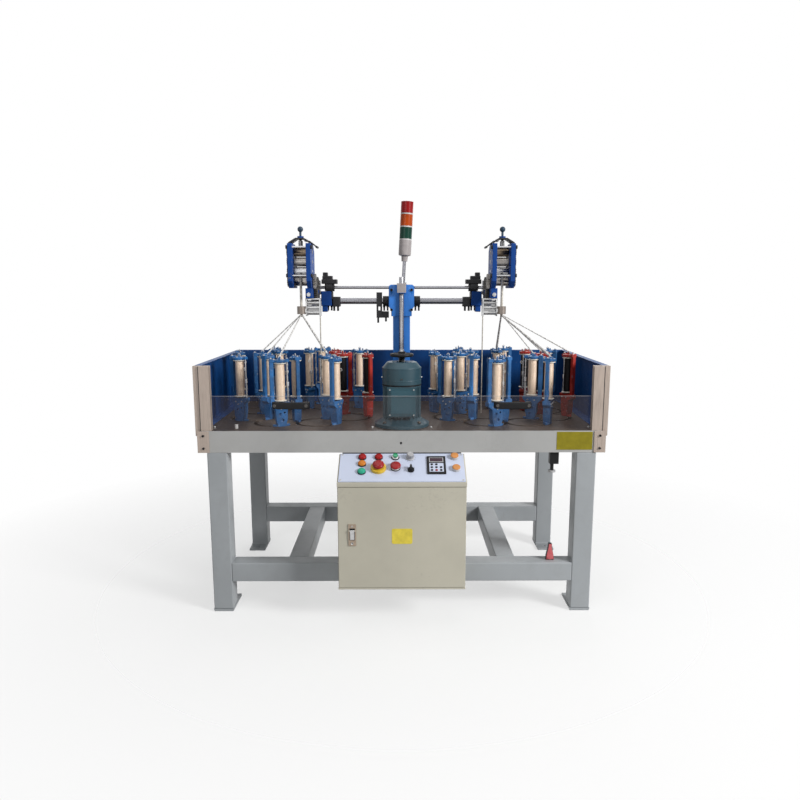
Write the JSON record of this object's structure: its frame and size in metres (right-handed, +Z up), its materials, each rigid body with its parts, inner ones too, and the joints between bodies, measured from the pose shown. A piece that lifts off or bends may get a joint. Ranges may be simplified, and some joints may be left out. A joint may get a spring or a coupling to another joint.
{
  "type": "braiding machine",
  "caption": "Free-standing braiding machine with rings of bobbin carriers on a gear table, take-up rollers above each ring and a control cabinet in front.",
  "frame": {"origin": "on the floor, midway between the four anchor holes in the foot plates", "axes": "+X along the table to the right as seen from the cabinet, +Y to the rear, +Z up"},
  "size_m": [1.65, 1.0098, 1.7209],
  "materials": {
    "stand_paint": "light grey enamel, satin",
    "deck_steel": "oiled dark steel",
    "guard_paint": "dark blue enamel",
    "post_aluminium": "satin aluminium",
    "motor_paint": "teal green enamel",
    "blue_paint": "royal blue enamel",
    "carrier_paint": "royal blue enamel on castings, red on some",
    "bright_steel": "turned steel",
    "black_iron": "blackened",
    "cabinet_paint": "beige powder coat",
    "fascia_plate": "pale lilac plate",
    "lamp_plastic": "coloured lenses",
    "pole_plastic": "light grey",
    "yarn": "cream yarn",
    "black_plastic": "black moulded",
    "grey_plastic": "grey moulded",
    "clear_acrylic": "clear sheet with a warm tint",
    "red_plastic": "red moulded",
    "green_plastic": "green moulded"
  },
  "bodies": {
    "machine_frame": {"stand_frame": "stand_paint", "table_beams": "stand_paint", "gear_bed": "deck_steel", "track_plate": "deck_steel", "guard_panels": "guard_paint", "guard_posts": "post_aluminium", "motor_frame": "motor_paint", "fan_cowl": "motor_paint", "column": "blue_paint", "column_head": "blue_paint", "arm_tubes": "bright_steel", "arm_clamps": "black_iron", "takeup_cheeks": "blue_paint", "takeup_brackets": "blue_paint", "takeup_fittings": "bright_steel", "guide_frames": "post_aluminium", "signal_pole": "pole_plastic", "signal_lenses": "lamp_plastic", "cabinet_shell": "cabinet_paint", "console_fascia": "fascia_plate", "pilot_lamps": "lamp_plastic", "yarns": "yarn", "braid_cords": "yarn", "stop_switch": "black_plastic"},
    "drive_gear": {"drive_gear": "deck_steel"},
    "motor_shaft": {"motor_shaft": "bright_steel"},
    "takeup_shaft": {"takeup_shaft": "bright_steel"},
    "cross_shaft": {"cross_shaft": "bright_steel"},
    "takeup_idlers": {"takeup_idlers": "deck_steel"},
    "takeup_roller_4": {"takeup_roller_4": "bright_steel"},
    "takeup_roller_3": {"takeup_roller_3": "bright_steel"},
    "takeup_roller_2": {"takeup_roller_2": "bright_steel"},
    "takeup_roller_1": {"takeup_roller_1": "bright_steel"},
    "left_rotor_1": {"left_rotor_1": "carrier_paint"},
    "left_rotor_2": {"left_rotor_2": "carrier_paint"},
    "left_rotor_3": {"left_rotor_3": "carrier_paint"},
    "left_rotor_4": {"left_rotor_4": "carrier_paint"},
    "left_rotor_5": {"left_rotor_5": "carrier_paint"},
    "left_rotor_6": {"left_rotor_6": "carrier_paint"},
    "left_rotor_7": {"left_rotor_7": "carrier_paint"},
    "left_rotor_8": {"left_rotor_8": "carrier_paint"},
    "right_rotor_1": {"right_rotor_1": "carrier_paint"},
    "right_rotor_2": {"right_rotor_2": "carrier_paint"},
    "right_rotor_3": {"right_rotor_3": "carrier_paint"},
    "right_rotor_4": {"right_rotor_4": "carrier_paint"},
    "right_rotor_5": {"right_rotor_5": "carrier_paint"},
    "right_rotor_6": {"right_rotor_6": "carrier_paint"},
    "right_rotor_7": {"right_rotor_7": "carrier_paint"},
    "right_rotor_8": {"right_rotor_8": "carrier_paint"},
    "tension_screw_left": {"tension_screw_left": "blue_paint"},
    "tension_screw_right": {"tension_screw_right": "blue_paint"},
    "front_shield": {"front_shield": "clear_acrylic", "shield_handles": "black_plastic"},
    "cabinet_door": {"cabinet_door": "cabinet_paint"},
    "door_latch": {"door_latch": "bright_steel"},
    "emergency_stop": {"emergency_stop": "red_plastic"},
    "stop_button": {"stop_button": "red_plastic"},
    "start_button": {"start_button": "green_plastic"},
    "speed_knob": {"speed_knob": "grey_plastic"},
    "selector_switch": {"selector_switch": "black_plastic"}
  },
  "joints": [
    {"name": "drive_gear_spin", "type": "hinge", "parent": "machine_frame", "child": "drive_gear", "pos_m": [0, -0.108, 0.721], "axis": [0, 0, 1], "continuous": true, "deforming": ["yarns"]},
    {"name": "motor_shaft_spin", "type": "hinge", "parent": "machine_frame", "child": "motor_shaft", "pos_m": [0, -0.2895, 0.721], "axis": [0, 0, 1], "continuous": true},
    {"name": "takeup_shaft_spin", "type": "hinge", "parent": "machine_frame", "child": "takeup_shaft", "pos_m": [0, 0.145, 0.721], "axis": [0, 0, 1], "continuous": true},
    {"name": "cross_shaft_spin", "type": "hinge", "parent": "machine_frame", "child": "cross_shaft", "pos_m": [0, 0.178, 1.329], "axis": [1, 0, 0], "continuous": true},
    {"name": "takeup_idler_spin", "type": "hinge", "parent": "machine_frame", "child": "takeup_idlers", "pos_m": [0, 0.08702, 1.3097], "axis": [1, 0, 0], "continuous": true},
    {"name": "takeup_roller_4_spin", "type": "hinge", "parent": "machine_frame", "child": "takeup_roller_4", "pos_m": [0, 0.0058, 1.355], "axis": [1, 0, 0], "continuous": true},
    {"name": "takeup_roller_3_spin", "type": "hinge", "parent": "machine_frame", "child": "takeup_roller_3", "pos_m": [0, 0.0058, 1.397], "axis": [1, 0, 0], "continuous": true},
    {"name": "takeup_roller_2_spin", "type": "hinge", "parent": "machine_frame", "child": "takeup_roller_2", "pos_m": [0, 0.0058, 1.439], "axis": [1, 0, 0], "continuous": true},
    {"name": "takeup_roller_1_spin", "type": "hinge", "parent": "machine_frame", "child": "takeup_roller_1", "pos_m": [0, 0.0058, 1.481], "axis": [1, 0, 0], "continuous": true},
    {"name": "left_rotor_1_spin", "type": "hinge", "parent": "machine_frame", "child": "left_rotor_1", "pos_m": [-0.231, 0.068, 0.721], "axis": [0, 0, 1], "continuous": true},
    {"name": "left_rotor_2_spin", "type": "hinge", "parent": "machine_frame", "child": "left_rotor_2", "pos_m": [-0.35545, 0.19245, 0.721], "axis": [0, 0, 1], "continuous": true},
    {"name": "left_rotor_3_spin", "type": "hinge", "parent": "machine_frame", "child": "left_rotor_3", "pos_m": [-0.53145, 0.19245, 0.721], "axis": [0, 0, 1], "continuous": true},
    {"name": "left_rotor_4_spin", "type": "hinge", "parent": "machine_frame", "child": "left_rotor_4", "pos_m": [-0.6559, 0.068, 0.721], "axis": [0, 0, 1], "continuous": true},
    {"name": "left_rotor_5_spin", "type": "hinge", "parent": "machine_frame", "child": "left_rotor_5", "pos_m": [-0.6559, -0.108, 0.721], "axis": [0, 0, 1], "continuous": true},
    {"name": "left_rotor_6_spin", "type": "hinge", "parent": "machine_frame", "child": "left_rotor_6", "pos_m": [-0.53145, -0.23245, 0.721], "axis": [0, 0, 1], "continuous": true},
    {"name": "left_rotor_7_spin", "type": "hinge", "parent": "machine_frame", "child": "left_rotor_7", "pos_m": [-0.35545, -0.23245, 0.721], "axis": [0, 0, 1], "continuous": true},
    {"name": "left_rotor_8_spin", "type": "hinge", "parent": "machine_frame", "child": "left_rotor_8", "pos_m": [-0.231, -0.108, 0.721], "axis": [0, 0, 1], "continuous": true},
    {"name": "right_rotor_1_spin", "type": "hinge", "parent": "machine_frame", "child": "right_rotor_1", "pos_m": [0.6559, 0.068, 0.721], "axis": [0, 0, 1], "continuous": true},
    {"name": "right_rotor_2_spin", "type": "hinge", "parent": "machine_frame", "child": "right_rotor_2", "pos_m": [0.53145, 0.19245, 0.721], "axis": [0, 0, 1], "continuous": true},
    {"name": "right_rotor_3_spin", "type": "hinge", "parent": "machine_frame", "child": "right_rotor_3", "pos_m": [0.35545, 0.19245, 0.721], "axis": [0, 0, 1], "continuous": true},
    {"name": "right_rotor_4_spin", "type": "hinge", "parent": "machine_frame", "child": "right_rotor_4", "pos_m": [0.231, 0.068, 0.721], "axis": [0, 0, 1], "continuous": true},
    {"name": "right_rotor_5_spin", "type": "hinge", "parent": "machine_frame", "child": "right_rotor_5", "pos_m": [0.231, -0.108, 0.721], "axis": [0, 0, 1], "continuous": true},
    {"name": "right_rotor_6_spin", "type": "hinge", "parent": "machine_frame", "child": "right_rotor_6", "pos_m": [0.35545, -0.23245, 0.721], "axis": [0, 0, 1], "continuous": true},
    {"name": "right_rotor_7_spin", "type": "hinge", "parent": "machine_frame", "child": "right_rotor_7", "pos_m": [0.53145, -0.23245, 0.721], "axis": [0, 0, 1], "continuous": true},
    {"name": "right_rotor_8_spin", "type": "hinge", "parent": "machine_frame", "child": "right_rotor_8", "pos_m": [0.6559, -0.108, 0.721], "axis": [0, 0, 1], "continuous": true},
    {"name": "tension_screw_left_turn", "type": "hinge", "parent": "machine_frame", "child": "tension_screw_left", "pos_m": [-0.44345, 0.0058, 1.541], "axis": [0, 0, 1], "range_deg": [-360, 360]},
    {"name": "tension_screw_right_turn", "type": "hinge", "parent": "machine_frame", "child": "tension_screw_right", "pos_m": [0.44345, 0.0058, 1.541], "axis": [0, 0, 1], "range_deg": [-360, 360]},
    {"name": "front_shield_slide", "type": "slide", "parent": "machine_frame", "child": "front_shield", "axis": [0, 0, 1], "range_m": [0, 0.115]},
    {"name": "cabinet_door_hinge", "type": "hinge", "parent": "machine_frame", "child": "cabinet_door", "pos_m": [0.2435, -0.566, 0.368], "axis": [0, 0, 1], "range_deg": [0, 110]},
    {"name": "door_latch_pull", "type": "hinge", "parent": "cabinet_door", "child": "door_latch", "pos_m": [-0.193, -0.5783, 0.4], "axis": [-1, 0, 0], "range_deg": [0, 55]},
    {"name": "emergency_stop_press", "type": "slide", "parent": "machine_frame", "child": "emergency_stop", "axis": [0, 0.4916, -0.8708], "range_m": [0, 0.006]},
    {"name": "stop_button_press", "type": "slide", "parent": "machine_frame", "child": "stop_button", "axis": [0, 0.4916, -0.8708], "range_m": [0, 0.004], "stiffness_N_per_m": 600},
    {"name": "start_button_press", "type": "slide", "parent": "machine_frame", "child": "start_button", "axis": [0, 0.4916, -0.8708], "range_m": [0, 0.004], "stiffness_N_per_m": 600},
    {"name": "speed_knob_turn", "type": "hinge", "parent": "machine_frame", "child": "speed_knob", "pos_m": [0.033, -0.45356, 0.65685], "axis": [0, -0.4916, 0.8708], "range_deg": [-150, 150]},
    {"name": "selector_switch_turn", "type": "hinge", "parent": "machine_frame", "child": "selector_switch", "pos_m": [0.035, -0.5154, 0.62195], "axis": [0, -0.4916, 0.8708], "range_deg": [-45, 45]}
  ],
  "couplings": [
    {"joint": "motor_shaft_spin", "follows": "drive_gear_spin", "ratio": -3.7143},
    {"joint": "takeup_shaft_spin", "follows": "drive_gear_spin", "ratio": -1.3},
    {"joint": "cross_shaft_spin", "follows": "drive_gear_spin", "ratio": -0.325},
    {"joint": "takeup_idler_spin", "follows": "drive_gear_spin", "ratio": 0.15476},
    {"joint": "takeup_roller_4_spin", "follows": "drive_gear_spin", "ratio": -0.325},
    {"joint": "takeup_roller_3_spin", "follows": "drive_gear_spin", "ratio": 0.325},
    {"joint": "takeup_roller_2_spin", "follows": "drive_gear_spin", "ratio": -0.325},
    {"joint": "takeup_roller_1_spin", "follows": "drive_gear_spin", "ratio": 0.325},
    {"joint": "left_rotor_1_spin", "follows": "drive_gear_spin", "ratio": 1.625},
    {"joint": "left_rotor_2_spin", "follows": "drive_gear_spin", "ratio": -1.625},
    {"joint": "left_rotor_3_spin", "follows": "drive_gear_spin", "ratio": 1.625},
    {"joint": "left_rotor_4_spin", "follows": "drive_gear_spin", "ratio": -1.625},
    {"joint": "left_rotor_5_spin", "follows": "drive_gear_spin", "ratio": 1.625},
    {"joint": "left_rotor_6_spin", "follows": "drive_gear_spin", "ratio": -1.625},
    {"joint": "left_rotor_7_spin", "follows": "drive_gear_spin", "ratio": 1.625},
    {"joint": "left_rotor_8_spin", "follows": "drive_gear_spin", "ratio": -1.625},
    {"joint": "right_rotor_1_spin", "follows": "drive_gear_spin", "ratio": -1.625},
    {"joint": "right_rotor_2_spin", "follows": "drive_gear_spin", "ratio": 1.625},
    {"joint": "right_rotor_3_spin", "follows": "drive_gear_spin", "ratio": -1.625},
    {"joint": "right_rotor_4_spin", "follows": "drive_gear_spin", "ratio": 1.625},
    {"joint": "right_rotor_5_spin", "follows": "drive_gear_spin", "ratio": -1.625},
    {"joint": "right_rotor_6_spin", "follows": "drive_gear_spin", "ratio": 1.625},
    {"joint": "right_rotor_7_spin", "follows": "drive_gear_spin", "ratio": -1.625},
    {"joint": "right_rotor_8_spin", "follows": "drive_gear_spin", "ratio": 1.625}
  ]
}
